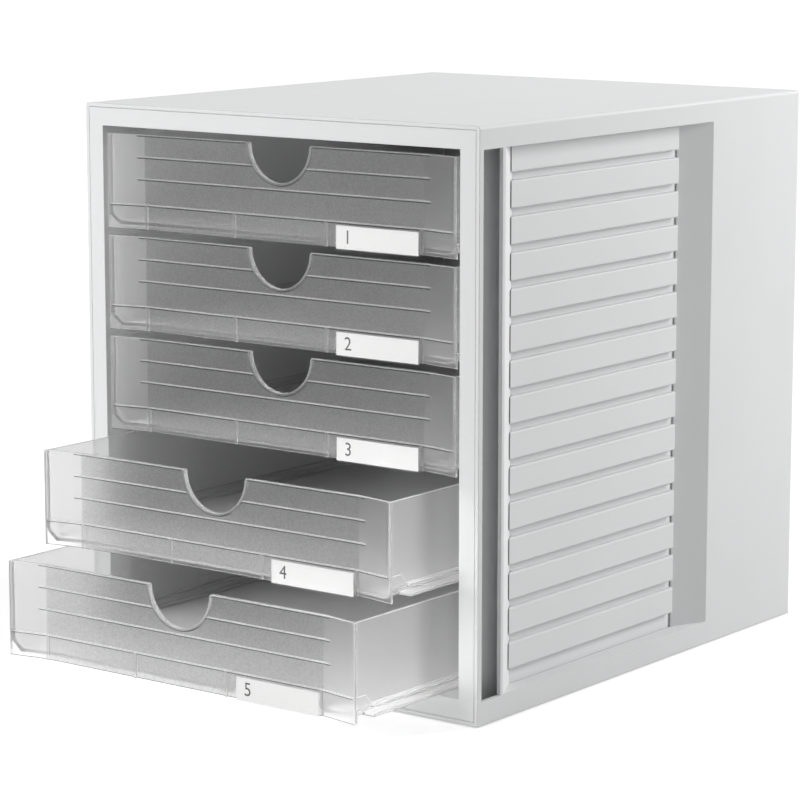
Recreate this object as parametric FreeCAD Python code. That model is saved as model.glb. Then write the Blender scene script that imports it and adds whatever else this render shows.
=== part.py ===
import FreeCAD, Part
import math
import os

# Case
CASE_W = 275.0
CASE_D = 330.0
CASE_H = 320.0
WALL = 2.2
EDGE_R = 2.0
REAR_R = 4.5
OVER = 5.0
ROOT = 0.5

# Front frame
BORDER_W = 12.5
SILL_H = 13.5
HEAD_H = 12.6
FRAME_T = 2.2
RETURN_T = 2.0
RETURN_D = 17.4
SEAM = 0.15
TONGUE_W = 24.0
TONGUE_T = 1.4
CATCH_Y = 11.0
CATCH_H = 1.2
CATCH_T = 1.6
BARB_L = 2.2
SNAP_GAP = 0.2

# Slot in each side
SLOT_Y = 3.5
SLOT_W = 17.3

# Side recess
RECESS_SILL_H = 13.2
RECESS_FRONT = 23.4
RECESS_FRONT_RUN = 19.8
RECESS_REAR_MARGIN = 99.9
RECESS_REAR_RUN = 24.1
RECESS_T = 2.0

# Guide walls
GUIDE_GAP = 0.2
GUIDE_T = 1.8
RECESS_GAP = 0.5
SLATS_PER_DRAWER = 3
SLAT_GAP = 4.4
SLAT_OUT = 3.5
SLAT_LIFT = 0.3
SLAT_LEAST_H = 6.0
SLAT_FRONT_GAP = 0.4
SLAT_REAR_GAP = 1.4
SLAT_R = 0.9
CHANNEL_H = 3.0
CHANNEL_T = 1.2

# Back panel
BACK_T = 1.8
RIM_W = 9.0
BACK_GAP = 0.3

# Drawer fronts
DRAWER_N = 5
FRONT_GAP = 4.23
PANEL_SIDE_GAP = 2.9
PANEL_T = 2.0
PANEL_LIP = 0.4
SET_BACK = 5.0
WING_W = 24.1
NOTCH_R = 21.5
NOTCH_RIM = 1.5
NOTCH_CORNER_R = 1.5
RIB_PROUD = 1.0
RIB_H = 0.9
RIB_N = 3
RIB_PITCH = 12.4
STRIP_H = 14.2
STRIP_PROUD = 0.9
STRIP_INSET = 2.0
FIELD_N = 3
FIELD_INSET = 0.3
DIVIDER_W = 1.8

# Drawer trays
TRAY_T = 1.8
FLOOR_UP = 1.9
BOTTOM_CHAMFER = 5.4
REAR_WALL_DROP = 8.0
REAR_POST_W = 12.0

# Runners, rails and stops
RUNNER_FRONT = 14.0
RUNNER_SIDE_GAP = 0.6
RUNNER_H = 7.1
RUNNER_T = 1.8
RAIL_GAP = 0.3
RAIL_SIDE_GAP = 0.8
GUSSET_RUN = 4.5
LUG_GAP = 0.8
LUG_H = 4.4
LUG_L = 7.0
STOP_Y = 87.5
STOP_T = 4.0
STOP_RAMP = 6.0
STOP_SIDE_GAP = 1.2
REAR_STOP_T = 5.2
CLOSED_GAP = 0.5

# Labels
HOLDER_SIDE_GAP = 0.1
HOLDER_SPARE = 6.6
HOLDER_TOP_GAP = 0.5
HOLDER_DROP = 1.0
HOLDER_SEAT = 0.05
HOLDER_WINDOW = 0.7
HOLDER_BACK = 0.7
HOLDER_RIM = 0.5
CARD_T = 0.35
CARD_GAP = 0.1

# Feet
FOOT_DROP = 0.8
FOOT_R = 7.0
FOOT_SEAT = 1.0
FOOT_GAP = 0.15
FOOT_SIDE = 13.5
FOOT_FRONT = 18.0
FOOT_REAR = 26.0

# Drawer pull-out at rest
DRAWER_4_PULL = 56.5
DRAWER_5_PULL = 86.5
PULLS = (0.0, 0.0, 0.0, DRAWER_4_PULL, DRAWER_5_PULL)

# The strip's ends are flush with the front of the case
STRIP_SHARE = STRIP_INSET / WING_W
WING_BACK = (STRIP_PROUD - SET_BACK * STRIP_SHARE) / (1 - STRIP_SHARE)

# Positions that follow, across
HALF_W = CASE_W / 2
IN_HALF_W = HALF_W - WALL
OPEN_HALF_W = HALF_W - BORDER_W
GUIDE_IN = OPEN_HALF_W + GUIDE_GAP
GUIDE_OUT = GUIDE_IN + GUIDE_T
RECESS_IN = GUIDE_OUT + RECESS_GAP
PANEL_HALF_W = OPEN_HALF_W - PANEL_SIDE_GAP
FLAT_HALF_W = PANEL_HALF_W - WING_W
TRAY_HALF_W = PANEL_HALF_W - PANEL_LIP
RUNNER_X = OPEN_HALF_W - RUNNER_SIDE_GAP
RAIL_IN = TRAY_HALF_W + RAIL_SIDE_GAP
WING_SLOPE = (SET_BACK - WING_BACK) / WING_W
RIB_HALF_W = FLAT_HALF_W + RIB_PROUD / WING_SLOPE
STRIP_HALF_W = PANEL_HALF_W - STRIP_INSET
FIELD_PITCH = (2 * (FLAT_HALF_W - FIELD_INSET) - DIVIDER_W) / FIELD_N
HOLDER_RIGHT = FIELD_N / 2 * FIELD_PITCH - DIVIDER_W / 2 - HOLDER_SIDE_GAP
HOLDER_LEFT = (FIELD_N / 2 - 1) * FIELD_PITCH + DIVIDER_W / 2 + HOLDER_SPARE
FOOT_X = HALF_W - FOOT_SIDE

# Positions that follow, front to back
GUIDE_FRONT = RETURN_D + GUIDE_GAP
BARB_Y = CATCH_Y + CATCH_T + SNAP_GAP
BACK_FRONT = CASE_D - WALL - BACK_T
GUIDE_REAR = BACK_FRONT - BACK_GAP
TRAY_REAR = GUIDE_REAR - REAR_STOP_T - CLOSED_GAP
RECESS_REAR = CASE_D - RECESS_REAR_MARGIN
RECESS_FRONT_SLOPE = RECESS_FRONT_RUN / (HALF_W - RECESS_IN)
RECESS_REAR_SLOPE = RECESS_REAR_RUN / (HALF_W - RECESS_IN)
HOLDER_T = HOLDER_WINDOW + CARD_T + 2 * CARD_GAP + HOLDER_BACK
HOLDER_FRONT = SET_BACK - HOLDER_SEAT - HOLDER_T
ORIGIN_Y = (CASE_D - max(PULLS)) / 2

# Positions that follow, upward
OPEN_TOP = CASE_H - HEAD_H
PANEL_H = (OPEN_TOP - SILL_H - (DRAWER_N + 1) * FRONT_GAP) / DRAWER_N
PITCH = PANEL_H + FRONT_GAP
FIRST_Z = SILL_H + FRONT_GAP
SLAT_PITCH = PITCH / SLATS_PER_DRAWER
SLAT_HIGH = OPEN_TOP - RECESS_GAP
SLAT_LOW = RECESS_SILL_H + RECESS_GAP
HOLDER_H = STRIP_H - RIB_H + HOLDER_DROP - HOLDER_TOP_GAP


def box(x0, x1, y0, y1, z0, z1):
    return Part.makeBox(x1 - x0, y1 - y0, z1 - z0, FreeCAD.Vector(x0, y0, z0))


def plan(points, z0, z1):
    corners = [FreeCAD.Vector(x, y, z0) for x, y in points]
    wire = Part.makePolygon(corners + corners[:1])
    return Part.Face(wire).extrude(FreeCAD.Vector(0, 0, z1 - z0))


def section(points, y0, y1):
    corners = [FreeCAD.Vector(x, y0, z) for x, z in points]
    wire = Part.makePolygon(corners + corners[:1])
    return Part.Face(wire).extrude(FreeCAD.Vector(0, y1 - y0, 0))


def side_view(points, x0, x1):
    corners = [FreeCAD.Vector(x0, y, z) for y, z in points]
    wire = Part.makePolygon(corners + corners[:1])
    return Part.Face(wire).extrude(FreeCAD.Vector(x1 - x0, 0, 0))


def mirror(shape):
    return shape.mirror(FreeCAD.Vector(0, 0, 0), FreeCAD.Vector(1, 0, 0))


def both_sides(shape):
    return [shape, mirror(shape)]


def join(shapes):
    return shapes[0].multiFuse(shapes[1:]).removeSplitter()


def edges_where(shape, test):
    return [edge for edge in shape.Edges if test(edge.BoundBox)]


def drawer_z(number):
    return FIRST_Z + (DRAWER_N - number) * PITCH


def recess_plan(thick, overrun):
    deep = HALF_W - RECESS_IN + overrun
    front = RECESS_FRONT - thick * math.hypot(1, RECESS_FRONT_SLOPE)
    rear = RECESS_REAR + thick * math.hypot(1, RECESS_REAR_SLOPE)
    x_out = HALF_W + overrun
    x_in = RECESS_IN - overrun
    return [
        (x_out, front - RECESS_FRONT_SLOPE * overrun),
        (x_in, front + RECESS_FRONT_SLOPE * deep),
        (x_in, rear - RECESS_REAR_SLOPE * deep),
        (x_out, rear + RECESS_REAR_SLOPE * overrun),
    ]


def make_shell():
    outer = box(-HALF_W, HALF_W, 0, CASE_D, 0, CASE_H)
    rear = edges_where(outer, lambda b: b.ZLength > WALL and b.YMin > CASE_D - WALL)
    outer = outer.makeFillet(REAR_R, rear)
    top = edges_where(outer, lambda b: b.ZMin > CASE_H - WALL and b.YMax > WALL)
    outer = outer.makeFillet(EDGE_R, top)
    inner = box(-IN_HALF_W, IN_HALF_W, -OVER, CASE_D - WALL, WALL, CASE_H - WALL)
    rear = edges_where(inner, lambda b: b.ZLength > WALL and b.YMin > CASE_D - 2 * WALL)
    inner = inner.makeFillet(REAR_R - WALL, rear)
    rim_x = HALF_W - RIM_W
    rim = box(-rim_x, rim_x, CASE_D - 2 * WALL, CASE_D + OVER, RIM_W, CASE_H - RIM_W)
    shell = outer.cut(inner).cut(rim)

    # Side recesses with slanted ends, and the slot in front of each
    flange = plan(recess_plan(RECESS_T, 0), RECESS_SILL_H - RECESS_T, OPEN_TOP + RECESS_T)
    shell = join([shell] + both_sides(flange))
    hole = plan(recess_plan(0, RECESS_GAP), RECESS_SILL_H, OPEN_TOP)
    slot = box(HALF_W - 2 * WALL, HALF_W + OVER, SLOT_Y, SLOT_Y + SLOT_W, RECESS_SILL_H, OPEN_TOP)
    for cutter in both_sides(hole) + both_sides(slot):
        shell = shell.cut(cutter)

    # Channels for the guide walls and catches for the front frame
    ribs = []
    inside = GUIDE_IN - GUIDE_GAP
    outside = GUIDE_OUT + GUIDE_GAP
    for z in (WALL, CASE_H - WALL - CHANNEL_H):
        for x in (inside - CHANNEL_T, outside):
            ribs += both_sides(box(x, x + CHANNEL_T, GUIDE_FRONT, GUIDE_REAR, z, z + CHANNEL_H))
    for z in (WALL, CASE_H - WALL - CATCH_H):
        x0 = HALF_W / 2 - TONGUE_W / 2
        ribs += both_sides(box(x0, x0 + TONGUE_W, CATCH_Y, CATCH_Y + CATCH_T, z, z + CATCH_H))
    shell = join([shell] + ribs)
    for x in (-FOOT_X, FOOT_X):
        for y in (FOOT_FRONT, CASE_D - FOOT_REAR):
            shell = shell.cut(Part.makeCylinder(FOOT_R + FOOT_GAP, FOOT_SEAT, FreeCAD.Vector(x, y, 0)))
    return shell


def make_frame():
    x_out = IN_HALF_W - SEAM
    z_low = WALL + SEAM
    z_high = CASE_H - WALL - SEAM
    x_ring = OPEN_HALF_W + RETURN_T
    parts = [box(-x_out, x_out, 0, FRAME_T, z_low, z_high)]
    parts.append(box(-x_ring, x_ring, 0, RETURN_D, SILL_H - RETURN_T, OPEN_TOP + RETURN_T))
    x0 = HALF_W / 2 - TONGUE_W / 2
    x1 = HALF_W / 2 + TONGUE_W / 2
    root = CATCH_H + SNAP_GAP
    for edge, sign in ((z_low, 1), (z_high, -1)):
        z_tip = edge + sign * SNAP_GAP
        z_near = edge + sign * root
        z_far = edge + sign * (root + TONGUE_T)
        parts += both_sides(box(x0, x1, 0, BARB_Y + BARB_L, min(z_near, z_far), max(z_near, z_far)))
        parts += both_sides(box(x0, x1, BARB_Y, BARB_Y + BARB_L, min(z_tip, z_far), max(z_tip, z_far)))
    opening = box(-OPEN_HALF_W, OPEN_HALF_W, -OVER, RETURN_D + OVER, SILL_H, OPEN_TOP)
    return join(parts).cut(opening)


def make_slats():
    x0 = GUIDE_OUT - ROOT
    x1 = GUIDE_OUT + SLAT_OUT
    front = RECESS_FRONT + SLAT_FRONT_GAP * math.hypot(1, RECESS_FRONT_SLOPE)
    y0 = front + RECESS_FRONT_SLOPE * (HALF_W - x0)
    y1 = front + RECESS_FRONT_SLOPE * (HALF_W - x1)
    y_end = RECESS_REAR - RECESS_REAR_RUN - SLAT_REAR_GAP
    slats = []
    top = OPEN_TOP + SLAT_LIFT
    while top - SLAT_LOW > SLAT_LEAST_H:
        low = max(top - SLAT_PITCH + SLAT_GAP, SLAT_LOW)
        slat = plan([(x0, y0), (x1, y1), (x1, y_end), (x0, y_end)], low, min(top, SLAT_HIGH))
        soft = edges_where(slat, lambda b: b.XMin > GUIDE_OUT and b.YMax > y0)
        slats.append(slat.makeFillet(SLAT_R, soft))
        top -= SLAT_PITCH
    return slats


def make_guide_wall():
    z_low = WALL + GUIDE_GAP
    z_high = CASE_H - WALL - GUIDE_GAP
    solids = [box(GUIDE_IN, GUIDE_OUT, GUIDE_FRONT, GUIDE_REAR, z_low, z_high)]
    solids += make_slats()
    x_root = GUIDE_IN + ROOT
    x_stop = TRAY_HALF_W + STOP_SIDE_GAP
    y_stop = STOP_Y - STOP_T
    nub = [(x_root, y_stop - STOP_RAMP), (x_stop, y_stop), (x_stop, STOP_Y), (x_root, STOP_Y)]
    for number in range(1, DRAWER_N + 1):
        z0 = drawer_z(number) + FLOOR_UP
        z1 = z0 + RUNNER_H
        low = z0 + RUNNER_T + RAIL_GAP
        high = z1 - RUNNER_T - RAIL_GAP
        solids.append(box(RAIL_IN, x_root, GUIDE_FRONT, GUIDE_REAR, low, high))
        solids.append(box(RAIL_IN, x_root, TRAY_REAR + CLOSED_GAP, GUIDE_REAR, z0, z1))
        solids.append(plan(nub, z1 + LUG_GAP, z1 + LUG_GAP + LUG_H))
    return join(solids)


def make_back():
    x_plate = IN_HALF_W - REAR_R
    x_boss = HALF_W - RIM_W - BACK_GAP
    z_plate = WALL + BACK_GAP
    z_boss = RIM_W + BACK_GAP
    plate = box(-x_plate, x_plate, BACK_FRONT, BACK_FRONT + BACK_T, z_plate, CASE_H - z_plate)
    boss = box(-x_boss, x_boss, BACK_FRONT, CASE_D - BACK_GAP, z_boss, CASE_H - z_boss)
    x_core = x_boss - WALL
    z_core = z_boss + WALL
    core = box(-x_core, x_core, 0, CASE_D - WALL, z_core, CASE_H - z_core)
    return join([plate, boss]).cut(core)


def make_foot(x, y):
    return Part.makeCylinder(FOOT_R, FOOT_DROP + FOOT_SEAT, FreeCAD.Vector(x, y, -FOOT_DROP))


def front_cutter(shift):
    y_far = shift + SET_BACK - WING_SLOPE * (HALF_W - FLAT_HALF_W)
    y_flat = shift + SET_BACK
    face = [(HALF_W, y_far), (FLAT_HALF_W, y_flat), (-FLAT_HALF_W, y_flat), (-HALF_W, y_far)]
    return plan([(-HALF_W, -HALF_W), (HALF_W, -HALF_W)] + face, -OVER, PANEL_H + 2 * OVER)


def front_band(half_w, shift, thick, z0, z1):
    y_end = shift + WING_BACK + WING_SLOPE * (PANEL_HALF_W - half_w)
    y_flat = shift + SET_BACK
    front = [(-half_w, y_end), (-FLAT_HALF_W, y_flat), (FLAT_HALF_W, y_flat), (half_w, y_end)]
    rear = [(x, y + thick) for x, y in reversed(front)]
    return plan(front + rear, z0, z1)


def tray_section(inset, top):
    half = TRAY_HALF_W - inset
    cut = BOTTOM_CHAMFER - inset * (2 - math.sqrt(2))
    low = FLOOR_UP + inset
    right = [(half - cut, low), (half, low + cut), (half, top)]
    left = [(-x, z) for x, z in reversed(right)]
    return left + right


def make_front():
    solids = [front_band(PANEL_HALF_W, 0, PANEL_T, 0, PANEL_H)]
    y_rib = SET_BACK - RIB_PROUD
    for index in range(RIB_N):
        z = PANEL_H - index * RIB_PITCH
        solids.append(box(-RIB_HALF_W, RIB_HALF_W, y_rib, SET_BACK + ROOT, z - RIB_H, z))
    top = FreeCAD.Vector(0, y_rib, PANEL_H)
    rim = Part.makeCylinder(NOTCH_R + NOTCH_RIM, RIB_PROUD + ROOT, top, FreeCAD.Vector(0, 1, 0))
    solids.append(rim.cut(box(-HALF_W, HALF_W, -OVER, CASE_D, PANEL_H, PANEL_H + HALF_W)))
    solids.append(front_band(STRIP_HALF_W, -STRIP_PROUD, STRIP_PROUD + ROOT, STRIP_H - RIB_H, STRIP_H))
    for index in range(FIELD_N + 1):
        x = (index - FIELD_N / 2) * FIELD_PITCH - DIVIDER_W / 2
        solids.append(box(x, x + DIVIDER_W, SET_BACK - STRIP_PROUD, SET_BACK + ROOT, 0, STRIP_H))
    front = join(solids).cut(make_notch())
    upper = edges_where(front, lambda b: b.ZMin > PANEL_H - ROOT and b.YLength > RIB_PROUD)
    corners = [edge for edge in upper if abs(edge.BoundBox.XMax) < NOTCH_R + NOTCH_RIM]
    return front.makeFillet(NOTCH_CORNER_R, corners)


def make_notch():
    start = FreeCAD.Vector(0, -OVER, PANEL_H)
    return Part.makeCylinder(NOTCH_R, 4 * OVER, start, FreeCAD.Vector(0, 1, 0))


def make_runner():
    z0 = FLOOR_UP
    z1 = FLOOR_UP + RUNNER_H
    x_root = TRAY_HALF_W - TRAY_T / 2
    x_low = TRAY_HALF_W - BOTTOM_CHAMFER - ROOT
    upper = box(x_root, RUNNER_X, RUNNER_FRONT, TRAY_REAR, z1 - RUNNER_T, z1)
    lower = box(x_low, RUNNER_X, RUNNER_FRONT, TRAY_REAR, z0, z0 + RUNNER_T)
    y_root = RUNNER_FRONT + ROOT
    y_panel = WING_BACK + PANEL_T / 2
    z_fold = z0 + BOTTOM_CHAMFER
    tab = [(y_panel, STRIP_H), (RUNNER_FRONT - GUSSET_RUN, STRIP_H), (y_root, z1), (y_root, z_fold)]
    gusset = side_view(tab + [(y_panel, z_fold)], x_root, TRAY_HALF_W + PANEL_LIP)
    y_lug = TRAY_REAR - LUG_L
    hook = [(x_root, y_lug), (RUNNER_X, y_lug), (RUNNER_X, y_lug + LUG_L / 2), (x_root, TRAY_REAR)]
    return [upper, lower, gusset, plan(hook, z1 - ROOT, z1 + LUG_GAP + LUG_H)]


def make_tray():
    body = section(tray_section(0, PANEL_H), -OVER, TRAY_REAR).cut(front_cutter(0))
    cavity = section(tray_section(TRAY_T, PANEL_H + OVER), -OVER, TRAY_REAR - TRAY_T)
    cavity = cavity.cut(front_cutter(PANEL_T))
    post_x = TRAY_HALF_W - REAR_POST_W
    dip = box(-post_x, post_x, TRAY_REAR - OVER, TRAY_REAR + OVER, PANEL_H - REAR_WALL_DROP, PANEL_H + OVER)
    body = body.cut(cavity).cut(dip).cut(make_notch())
    runners = []
    for piece in make_runner():
        runners += both_sides(piece)
    return join([body, make_front()] + runners).cut(cavity)


def make_holder():
    y_pocket = HOLDER_FRONT + HOLDER_WINDOW
    z_top = HOLDER_H - HOLDER_DROP
    body = box(HOLDER_LEFT, HOLDER_RIGHT, HOLDER_FRONT, HOLDER_FRONT + HOLDER_T, -HOLDER_DROP, z_top)
    x_end = HOLDER_RIGHT - HOLDER_RIM
    depth = CARD_T + 2 * CARD_GAP
    z_low = HOLDER_RIM - HOLDER_DROP
    return body.cut(box(HOLDER_LEFT - OVER, x_end, y_pocket, y_pocket + depth, z_low, z_top - HOLDER_RIM))


def make_card():
    x0 = HOLDER_LEFT + CARD_GAP
    x1 = HOLDER_RIGHT - HOLDER_RIM - CARD_GAP
    y0 = HOLDER_FRONT + HOLDER_WINDOW + CARD_GAP
    edge = HOLDER_RIM + CARD_GAP
    return box(x0, x1, y0, y0 + CARD_T, edge - HOLDER_DROP, HOLDER_H - HOLDER_DROP - edge)


def save(name, shape, forward=0, up=0):
    placed = shape.copy()
    placed.translate(FreeCAD.Vector(0, -ORIGIN_Y - forward, FOOT_DROP + up))
    placed.exportStep("parts/" + name + ".step")


os.makedirs("parts", exist_ok=True)
guide = make_guide_wall()
save("case_shell", make_shell())
save("front_frame", make_frame())
save("right_guide_wall", guide)
save("left_guide_wall", mirror(guide))
save("back_panel", make_back())
save("front_left_foot", make_foot(-FOOT_X, FOOT_FRONT))
save("front_right_foot", make_foot(FOOT_X, FOOT_FRONT))
save("rear_left_foot", make_foot(-FOOT_X, CASE_D - FOOT_REAR))
save("rear_right_foot", make_foot(FOOT_X, CASE_D - FOOT_REAR))
tray = make_tray()
holder = make_holder()
card = make_card()
for number, pull in enumerate(PULLS, 1):
    name = "drawer_" + str(number)
    save(name + "_tray", tray, pull, drawer_z(number))
    save(name + "_label_holder", holder, pull, drawer_z(number))
    save(name + "_label_card", card, pull, drawer_z(number))
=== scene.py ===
import math

import bpy
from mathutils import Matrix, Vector


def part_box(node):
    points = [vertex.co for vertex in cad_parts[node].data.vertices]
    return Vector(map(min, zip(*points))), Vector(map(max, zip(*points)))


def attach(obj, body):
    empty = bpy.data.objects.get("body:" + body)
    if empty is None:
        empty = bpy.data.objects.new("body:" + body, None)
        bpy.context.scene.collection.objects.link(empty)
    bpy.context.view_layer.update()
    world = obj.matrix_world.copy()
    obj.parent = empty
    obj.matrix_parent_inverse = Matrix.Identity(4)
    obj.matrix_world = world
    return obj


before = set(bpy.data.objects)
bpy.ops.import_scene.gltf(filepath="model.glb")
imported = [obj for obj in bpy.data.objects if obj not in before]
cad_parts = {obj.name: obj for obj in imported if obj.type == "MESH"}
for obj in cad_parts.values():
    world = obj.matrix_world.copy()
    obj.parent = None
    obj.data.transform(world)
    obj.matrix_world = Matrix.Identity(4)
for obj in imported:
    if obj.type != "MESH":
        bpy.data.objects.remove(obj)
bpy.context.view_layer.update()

# World light, and the white that is seen where the world or the floor shows
WORLD_LIGHT = 0.26
SHOWN_WHITE = 1.0

# Floor, lifted to white as seen, more so with the distance from the object
FLOOR_GREY = (0.62, 0.62, 0.62)
FLOOR_HALF = 30.0
FLOOR_LIFT_NEAR = 0.53
FLOOR_LIFT_FAR = 0.86
FLOOR_NEAR = 0.4
FLOOR_FAR = 2.4

# Lamps: name, place, point aimed at, width and height, watts
MIDDLE = (0.0, 0.0, 0.15)
LAMPS = (
    ("key", (-0.3, -0.4, 2.2), MIDDLE, (1.4, 1.4), 15.5),
    ("front", (-0.7, -1.5, 0.45), MIDDLE, (0.8, 0.6), 12.5),
    ("side", (1.05, 1.5, 0.9), MIDDLE, (0.14, 0.9), 29.0),
    ("wings", (-0.32, -0.84, 0.12), (-0.11, -0.12, 0.12), (0.1, 0.24), 0.45),
    ("strip", (-0.5, -0.86, 0.12), (0.08, -0.12, 0.12), (0.14, 0.24), 0.22),
)

# Camera
SENSOR_MM = 36.0
LENS_MM = 140.96
CAMERA_PLACE = (1.07878, -1.43353, 0.45382)
CAMERA_DOWN = math.radians(9.707)
CAMERA_TURN = math.radians(37.123)
VIEW_REACH = 100.0

# Case plastic, and the share of lamp light that its level faces pass over the drawers
CASE_GREY = (0.75, 0.755, 0.76)
CASE_ROUGHNESS = (0.5, 0.58)
CASE_SPECULAR = 0.3
CASE_PASSES = 0.3
BAY_HALF = 0.105

# Clear plastic: tints, the painted shade and painted highlight of its edges, clearness, roughness and
# the share of lamp light that it passes
PAINTED_SHADE_TINT = 0.05
PAINTED_SIDE_EDGE_SHADE = 0.7
PAINTED_HIGHLIGHT_TINT = 0.95
FRONT_TINT = 0.99
TRAY_WALL_TINT = 0.85
TRAY_FLOOR_TINT = 0.86
FRONT_CLEARNESS = 1.0
TRAY_WALL_CLEARNESS = 0.8
TRAY_FLOOR_CLEARNESS = 0.5
EDGE_CLEARNESS = 0.2
SMOOTH_ROUGHNESS = 0.1
WING_ROUGHNESS = 0.34
FLAT_ROUGHNESS = 0.45
CLEAR_IOR = 1.3
CLEAR_PASSES = 0.97

# The flat middle of a drawer's front: half its width, its speckle and the lift toward its ends
FLAT_HALF = 0.098
FLAT_FADE = 0.0005
SPECKLE_SCALE = 1400.0
SPECKLE = (0.58, 0.9)
END_LIFT = 0.24
END_START = 0.6

# Bevel radii of the edges
PLASTIC_EDGE = 0.0007
LABEL_EDGE = 0.0003
CARD_EDGE = 0.0001
FOOT_EDGE = 0.0004

# Normals at which a face begins to count, and counts in full, as level or as facing front or back
LEVEL = (0.9, 0.95)
AHEAD = (0.93, 0.97)

# Labels, cards, printed numbers and feet
LABEL_TINT = (0.95, 0.95, 0.95)
LABEL_ALPHA = 0.06
CARD_WHITE = (0.90, 0.90, 0.895)
INK = (0.02, 0.02, 0.022)
INK_THICKNESS = 0.00003
NUMBER_SIZE = 0.0105
NUMBER_INSET = 0.0052
FOOT_GREY = (0.20, 0.20, 0.205)
DRAWERS = range(1, 6)


# Node helpers
def new_material(name):
    material = bpy.data.materials.new(name)
    material.use_nodes = True
    tree = material.node_tree
    tree.nodes.clear()
    output = tree.nodes.new("ShaderNodeOutputMaterial")
    shader = tree.nodes.new("ShaderNodeBsdfPrincipled")
    tree.links.new(shader.outputs["BSDF"], output.inputs["Surface"])
    return material, tree, shader


def object_place(tree):
    return tree.nodes.new("ShaderNodeTexCoord").outputs["Object"]


def true_normal(tree):
    return tree.nodes.new("ShaderNodeNewGeometry").outputs["True Normal"]


def object_noise(tree, scale, detail, roughness=0.5):
    noise = tree.nodes.new("ShaderNodeTexNoise")
    noise.inputs["Scale"].default_value = scale
    noise.inputs["Detail"].default_value = detail
    noise.inputs["Roughness"].default_value = roughness
    tree.links.new(object_place(tree), noise.inputs["Vector"])
    return noise.outputs["Fac"]


def spread(tree, source, low, high, from_low=0.3, from_high=0.7):
    ramp = tree.nodes.new("ShaderNodeMapRange")
    ramp.inputs["From Min"].default_value = from_low
    ramp.inputs["From Max"].default_value = from_high
    ramp.inputs["To Min"].default_value = low
    ramp.inputs["To Max"].default_value = high
    tree.links.new(source, ramp.inputs["Value"])
    return ramp.outputs["Result"]


def split(tree, vector):
    parts = tree.nodes.new("ShaderNodeSeparateXYZ")
    tree.links.new(vector, parts.inputs["Vector"])
    return parts.outputs


def math_node(tree, operation, first, second=0.0):
    node = tree.nodes.new("ShaderNodeMath")
    node.operation = operation
    for index, value in enumerate((first, second)):
        if isinstance(value, float):
            node.inputs[index].default_value = value
        else:
            tree.links.new(value, node.inputs[index])
    return node.outputs[0]


def blend(tree, factor, first, second):
    step = math_node(tree, "SUBTRACT", second, first)
    return math_node(tree, "ADD", math_node(tree, "MULTIPLY", factor, step), first)


def grey(tree, level):
    tint = tree.nodes.new("ShaderNodeCombineColor")
    for channel in tint.inputs:
        tree.links.new(level, channel)
    return tint.outputs["Color"]


def tinted(tree, source, colour, low, high):
    scale = tree.nodes.new("ShaderNodeVectorMath")
    scale.operation = "SCALE"
    scale.inputs[0].default_value = colour
    tree.links.new(spread(tree, source, low, high), scale.inputs["Scale"])
    return scale.outputs["Vector"]


# Distance from the object's middle plane, and how level a face is
def across_object(tree):
    return math_node(tree, "ABSOLUTE", split(tree, object_place(tree))["X"])


def level_face(tree):
    upward = math_node(tree, "ABSOLUTE", split(tree, true_normal(tree))["Z"])
    return spread(tree, upward, 0.0, 1.0, *LEVEL)


# Rounded edges, with a fine bump where a height is given
def soft_edges(tree, shader, radius, height=None, strength=0.2, distance=0.0002):
    bevel = tree.nodes.new("ShaderNodeBevel")
    bevel.samples = 4
    bevel.inputs["Radius"].default_value = radius
    if height is None:
        tree.links.new(bevel.outputs["Normal"], shader.inputs["Normal"])
        return bevel
    bump = tree.nodes.new("ShaderNodeBump")
    bump.inputs["Strength"].default_value = strength
    bump.inputs["Distance"].default_value = distance
    tree.links.new(height, bump.inputs["Height"])
    tree.links.new(bevel.outputs["Normal"], bump.inputs["Normal"])
    tree.links.new(bump.outputs["Normal"], shader.inputs["Normal"])
    return bevel


def edge_mask(tree, bevel):
    match = tree.nodes.new("ShaderNodeVectorMath")
    match.operation = "DOT_PRODUCT"
    tree.links.new(bevel.outputs["Normal"], match.inputs[0])
    tree.links.new(true_normal(tree), match.inputs[1])
    return spread(tree, match.outputs["Value"], 1.0, 0.0, 0.8, 0.98)


# A share of each lamp's light goes on through the plastic
def let_light_through(tree, shader, share):
    path = tree.nodes.new("ShaderNodeLightPath")
    clear = tree.nodes.new("ShaderNodeBsdfTransparent")
    if isinstance(share, float):
        clear.inputs["Color"].default_value = (share, share, share, 1.0)
    else:
        tree.links.new(grey(tree, share), clear.inputs["Color"])
    mix = tree.nodes.new("ShaderNodeMixShader")
    tree.links.new(path.outputs["Is Shadow Ray"], mix.inputs[0])
    tree.links.new(shader.outputs["BSDF"], mix.inputs[1])
    tree.links.new(clear.outputs["BSDF"], mix.inputs[2])
    output = next(node for node in tree.nodes if node.type == "OUTPUT_MATERIAL")
    tree.links.new(mix.outputs["Shader"], output.inputs["Surface"])


# Materials
def case_plastic():
    material, tree, shader = new_material("case_polystyrene")
    cloud = object_noise(tree, 14.0, 2.0)
    grain = object_noise(tree, 2600.0, 3.0, 0.6)
    tree.links.new(tinted(tree, cloud, CASE_GREY, 0.985, 1.015), shader.inputs["Base Color"])
    tree.links.new(spread(tree, cloud, *CASE_ROUGHNESS), shader.inputs["Roughness"])
    shader.inputs["Specular IOR Level"].default_value = CASE_SPECULAR
    soft_edges(tree, shader, PLASTIC_EDGE, grain, 0.12, 0.00008)
    over_bay = spread(tree, across_object(tree), CASE_PASSES, 0.0, BAY_HALF, BAY_HALF + 0.001)
    let_light_through(tree, shader, math_node(tree, "MULTIPLY", over_bay, level_face(tree)))
    return material


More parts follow.
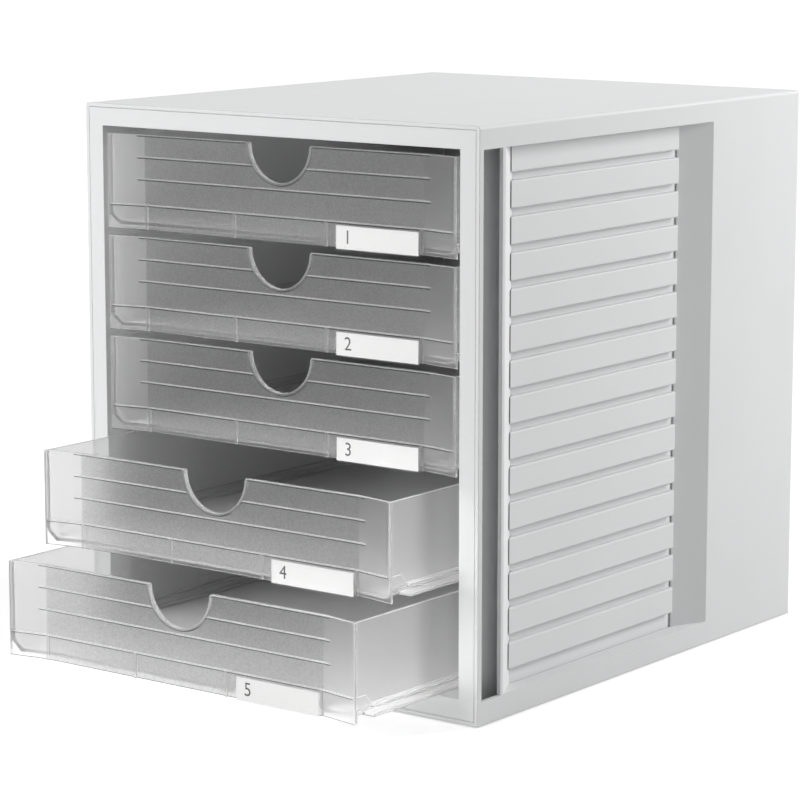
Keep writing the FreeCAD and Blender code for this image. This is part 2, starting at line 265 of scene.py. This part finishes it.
def speckled(tree, across):
    grain = object_noise(tree, SPECKLE_SCALE, 2.0, 0.6)
    toward_end = spread(tree, across, 0.0, END_LIFT, END_START * FLAT_HALF, FLAT_HALF)
    return blend(tree, toward_end, spread(tree, grain, *SPECKLE, 0.32, 0.68), PAINTED_HIGHLIGHT_TINT)


# Painted highlight and painted shade on the rounded edges: where the bevel normal points up the edge
# is painted light, where it points down it is painted dark, darkest on faces that look to the front
# or back
def clear_edge_tint(tree, facing, ahead):
    rising = spread(tree, facing, 0.0, 1.0, -0.45, 0.1)
    return blend(tree, rising, blend(tree, ahead, PAINTED_SIDE_EDGE_SHADE, PAINTED_SHADE_TINT), PAINTED_HIGHLIGHT_TINT)


def clear_plastic():
    material, tree, shader = new_material("clear_polystyrene")
    across = across_object(tree)
    flat = spread(tree, across, 1.0, 0.0, FLAT_HALF - FLAT_FADE, FLAT_HALF + FLAT_FADE)
    facing_front = split(tree, true_normal(tree))["Y"]
    front = spread(tree, facing_front, 1.0, 0.0, -AHEAD[1], -AHEAD[0])
    ahead = spread(tree, math_node(tree, "ABSOLUTE", facing_front), 0.0, 1.0, *AHEAD)
    floor = level_face(tree)
    bevel = soft_edges(tree, shader, PLASTIC_EDGE)
    bevel.samples = 8
    edge = edge_mask(tree, bevel)
    facing = split(tree, bevel.outputs["Normal"])["Z"]

    frosted = blend(tree, flat, WING_ROUGHNESS, FLAT_ROUGHNESS)
    tree.links.new(blend(tree, front, SMOOTH_ROUGHNESS, frosted), shader.inputs["Roughness"])

    smooth = blend(tree, ahead, blend(tree, floor, TRAY_WALL_TINT, TRAY_FLOOR_TINT), FRONT_TINT)
    on_flat = math_node(tree, "MULTIPLY", flat, front)
    body = blend(tree, on_flat, smooth, speckled(tree, across))
    # Painted shadow: a dark line painted under the ribs and the other edges of front and back faces
    # whose bevel normal points down; the edges then take the painted highlight and shade
    painted_shadow_under = math_node(tree, "MULTIPLY", ahead, spread(tree, facing, 1.0, 0.0, -0.22, -0.06))
    body_and_painted_edges = blend(tree, edge, body, clear_edge_tint(tree, facing, ahead))
    tree.links.new(grey(tree, blend(tree, painted_shadow_under, body_and_painted_edges, PAINTED_SHADE_TINT)), shader.inputs["Base Color"])

    tray = blend(tree, floor, TRAY_WALL_CLEARNESS, TRAY_FLOOR_CLEARNESS)
    clearness = blend(tree, ahead, tray, FRONT_CLEARNESS)
    tree.links.new(blend(tree, edge, clearness, EDGE_CLEARNESS), shader.inputs["Transmission Weight"])
    shader.inputs["IOR"].default_value = CLEAR_IOR
    let_light_through(tree, shader, CLEAR_PASSES)
    return material


def label_clear():
    material, tree, shader = new_material("label_clear_plastic")
    cloud = object_noise(tree, 60.0, 2.0)
    shader.inputs["Base Color"].default_value = (*LABEL_TINT, 1.0)
    shader.inputs["IOR"].default_value = 1.5
    shader.inputs["Alpha"].default_value = LABEL_ALPHA
    tree.links.new(spread(tree, cloud, 0.06, 0.12), shader.inputs["Roughness"])
    soft_edges(tree, shader, LABEL_EDGE)
    return material


def card():
    material, tree, shader = new_material("white_card")
    fibre = object_noise(tree, 1500.0, 5.0, 0.7)
    tree.links.new(tinted(tree, fibre, CARD_WHITE, 0.985, 1.01), shader.inputs["Base Color"])
    shader.inputs["Roughness"].default_value = 0.75
    soft_edges(tree, shader, CARD_EDGE, fibre, 0.15, 0.00005)
    return material


def ink():
    material, tree, shader = new_material("printed_ink")
    fibre = object_noise(tree, 1500.0, 3.0)
    tree.links.new(tinted(tree, fibre, INK, 0.8, 1.2), shader.inputs["Base Color"])
    shader.inputs["Roughness"].default_value = 0.6
    return material


def foot_rubber():
    material, tree, shader = new_material("foot_rubber")
    grain = object_noise(tree, 1800.0, 3.0)
    tree.links.new(tinted(tree, grain, FOOT_GREY, 0.9, 1.1), shader.inputs["Base Color"])
    shader.inputs["Roughness"].default_value = 0.8
    soft_edges(tree, shader, FOOT_EDGE, grain, 0.3, 0.0001)
    return material


# The object: each node's material, and the printed numbers
def dress_all():
    by_ending = {
        "_tray": clear_plastic(),
        "_label_holder": label_clear(),
        "_label_card": card(),
        "_foot": foot_rubber(),
    }
    case = case_plastic()
    for node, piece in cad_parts.items():
        material = next((by_ending[end] for end in by_ending if node.endswith(end)), case)
        piece.data.materials.clear()
        piece.data.materials.append(material)


def print_number(number, material):
    low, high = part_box(f"drawer_{number}_label_card")
    curve = bpy.data.curves.new(f"drawer_{number}_printed_number", "FONT")
    curve.body = str(number)
    curve.size = NUMBER_SIZE
    curve.align_y = "CENTER"
    curve.extrude = INK_THICKNESS / 2
    curve.materials.append(material)
    text = bpy.data.objects.new(curve.name, curve)
    text.rotation_euler = (math.pi / 2, 0, 0)
    text.location = (low[0] + NUMBER_INSET, low[1] - INK_THICKNESS / 2, (low[2] + high[2]) / 2)
    bpy.context.scene.collection.objects.link(text)
    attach(text, f"drawer_{number}")


def dressing():
    dress_all()
    black = ink()
    for number in DRAWERS:
        print_number(number, black)


# The studio
def seen_directly(tree):
    path = tree.nodes.new("ShaderNodeLightPath")
    first = math_node(tree, "MAXIMUM", path.outputs["Is Camera Ray"], path.outputs["Is Glossy Ray"])
    return math_node(tree, "MAXIMUM", first, path.outputs["Is Transmission Ray"])


def studio_world():
    world = bpy.data.worlds.new("studio")
    world.use_nodes = True
    tree = world.node_tree
    background = tree.nodes["Background"]
    background.inputs["Color"].default_value = (1.0, 1.0, 1.0, 1.0)
    strength = spread(tree, seen_directly(tree), WORLD_LIGHT, SHOWN_WHITE, 0.0, 1.0)
    tree.links.new(strength, background.inputs["Strength"])
    bpy.context.scene.world = world


def floor_material():
    material, tree, shader = new_material("pale_floor")
    shader.inputs["Base Color"].default_value = (*FLOOR_GREY, 1.0)
    shader.inputs["Roughness"].default_value = 0.9
    shader.inputs["Specular IOR Level"].default_value = 0.1
    shader.inputs["Emission Color"].default_value = (1.0, 1.0, 1.0, 1.0)
    away = tree.nodes.new("ShaderNodeVectorMath")
    away.operation = "LENGTH"
    tree.links.new(object_place(tree), away.inputs[0])
    lift = spread(tree, away.outputs["Value"], FLOOR_LIFT_NEAR, FLOOR_LIFT_FAR, FLOOR_NEAR, FLOOR_FAR)
    seen_lift = math_node(tree, "MULTIPLY", lift, seen_directly(tree))
    tree.links.new(seen_lift, shader.inputs["Emission Strength"])
    return material


def studio_floor():
    mesh = bpy.data.meshes.new("floor")
    corners = [(x * FLOOR_HALF, y * FLOOR_HALF, 0) for x, y in ((-1, -1), (1, -1), (1, 1), (-1, 1))]
    mesh.from_pydata(corners, [], [(0, 1, 2, 3)])
    mesh.materials.append(floor_material())
    floor = bpy.data.objects.new("floor", mesh)
    bpy.context.scene.collection.objects.link(floor)


def softbox(name, place, aim, size, watts):
    lamp = bpy.data.lights.new(name, "AREA")
    lamp.shape = "RECTANGLE"
    lamp.size, lamp.size_y = size
    lamp.energy = watts
    lamp_object = bpy.data.objects.new(name, lamp)
    lamp_object.location = place
    lamp_object.rotation_euler = (Vector(aim) - Vector(place)).to_track_quat("-Z", "Y").to_euler()
    lamp_object.visible_camera = False
    bpy.context.scene.collection.objects.link(lamp_object)


def studio_camera():
    lens = bpy.data.cameras.new("camera")
    lens.sensor_width = SENSOR_MM
    lens.lens = LENS_MM
    lens.clip_end = VIEW_REACH
    camera = bpy.data.objects.new("camera", lens)
    camera.location = CAMERA_PLACE
    camera.rotation_euler = (math.pi / 2 - CAMERA_DOWN, 0, CAMERA_TURN)
    bpy.context.scene.collection.objects.link(camera)
    bpy.context.scene.camera = camera


def studio_view():
    scene = bpy.context.scene
    scene.view_settings.view_transform = "Standard"
    scene.cycles.transparent_max_bounces = 24


dressing()
studio_world()
studio_floor()
for lamp in LAMPS:
    softbox(*lamp)
studio_camera()
studio_view()

bpy.context.view_layer.update()
